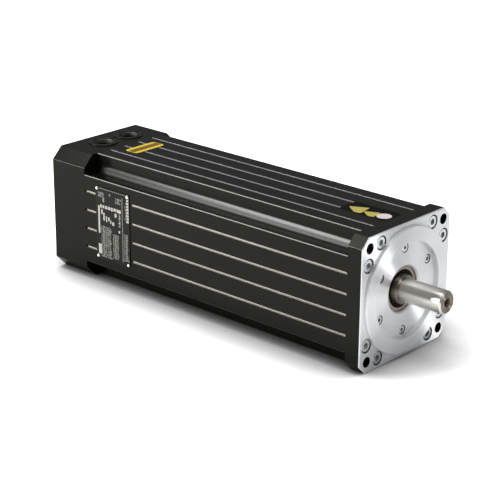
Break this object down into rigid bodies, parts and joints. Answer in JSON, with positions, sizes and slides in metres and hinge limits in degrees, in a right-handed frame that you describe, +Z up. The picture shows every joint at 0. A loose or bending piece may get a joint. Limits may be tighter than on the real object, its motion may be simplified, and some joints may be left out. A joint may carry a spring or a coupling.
{
  "type": "brushless servo motor",
  "caption": "Long square-frame brushless servo motor with a flanged front, a plain round shaft, grooved black sides and two round connectors on its rear housing.",
  "frame": {"origin": "centre of the mounting face, on the shaft axis, where the pilot starts", "axes": "+X along the shaft out of the front; +Z up towards the side with the connectors; the nameplate is on the -Y side"},
  "size_m": [0.486, 0.1417, 0.141],
  "materials": {
    "black_paint": "satin black paint",
    "flange_aluminium": "turned face, painted sides",
    "cast_aluminium": "machined casting",
    "zinc_steel": "zinc plated",
    "shaft_steel": "ground",
    "bearing_steel": "polished",
    "cage_steel": "pressed",
    "seal_rubber": "moulded rubber",
    "spring_steel": "blued spring steel",
    "lamination_steel": "stacked laminations",
    "copper_winding": "enamelled copper",
    "white_moulding": "moulded insulation",
    "magnet": "nickel plated magnet",
    "rotor_band": "resin bonded band",
    "green_board": "solder resist",
    "encoder_glass": "glass disc",
    "black_moulding": "moulded black plastic",
    "connector_metal": "dark plated shell",
    "contact_gold": "plated contact",
    "lead_jacket": "wire jacket",
    "plate_print": "black printed plate",
    "rivet_aluminium": "bright rivet"
  },
  "bodies": {
    "motor_body": {"front_flange": "flange_aluminium", "stator_housing": "black_paint", "rear_housing": "black_paint", "flange_screws": "zinc_steel", "bearing_cap_screws": "zinc_steel", "rear_housing_screws": "zinc_steel", "front_bearing_cap": "cast_aluminium", "shaft_seal": "seal_rubber", "seal_spring": "spring_steel", "front_oring": "seal_rubber", "rear_oring": "seal_rubber", "front_bearing_outer_ring": "bearing_steel", "rear_bearing_outer_ring": "bearing_steel", "rear_bearing_bracket": "cast_aluminium", "wave_spring": "spring_steel", "stator_core": "lamination_steel", "stator_coils": "copper_winding", "front_coil_insulator": "white_moulding", "rear_coil_insulator": "white_moulding", "phase_terminal_ring": "green_board", "winding_thermistor": "black_moulding", "phase_leads": "lead_jacket", "encoder_base": "cast_aluminium", "encoder_screws": "zinc_steel", "encoder_board": "green_board", "encoder_reader": "black_moulding", "encoder_cover": "black_moulding", "encoder_cable": "lead_jacket", "power_connector_shell": "connector_metal", "power_connector_insert": "black_moulding", "power_contacts": "contact_gold", "signal_connector_shell": "connector_metal", "signal_connector_insert": "black_moulding", "signal_contacts": "contact_gold", "connector_gaskets": "seal_rubber", "connector_screws": "zinc_steel", "nameplate": "plate_print", "nameplate_rivets": "rivet_aluminium"},
    "rotor": {"shaft": "shaft_steel", "front_bearing_inner_ring": "bearing_steel", "rear_bearing_inner_ring": "bearing_steel", "front_retaining_ring": "spring_steel", "rear_lock_nut": "zinc_steel", "rotor_core": "lamination_steel", "rotor_magnets": "magnet", "rotor_sleeve": "rotor_band", "front_balance_disc": "cast_aluminium", "rear_balance_disc": "cast_aluminium", "encoder_hub": "cast_aluminium", "encoder_disc": "encoder_glass"},
    "front_ball_set": {"front_bearing_balls": "bearing_steel", "front_bearing_cage": "cage_steel"},
    "rear_ball_set": {"rear_bearing_balls": "bearing_steel", "rear_bearing_cage": "cage_steel"}
  },
  "joints": [
    {"name": "shaft_spin", "type": "hinge", "parent": "motor_body", "child": "rotor", "pos_m": [0, 0, 0], "axis": [1, 0, 0], "continuous": true},
    {"name": "front_ball_orbit", "type": "hinge", "parent": "motor_body", "child": "front_ball_set", "pos_m": [-0.024, 0, 0], "axis": [1, 0, 0], "continuous": true},
    {"name": "rear_ball_orbit", "type": "hinge", "parent": "motor_body", "child": "rear_ball_set", "pos_m": [-0.3705, 0, 0], "axis": [1, 0, 0], "continuous": true}
  ],
  "couplings": [
    {"joint": "front_ball_orbit", "follows": "shaft_spin", "ratio": 0.3965},
    {"joint": "rear_ball_orbit", "follows": "shaft_spin", "ratio": 0.3815}
  ]
}
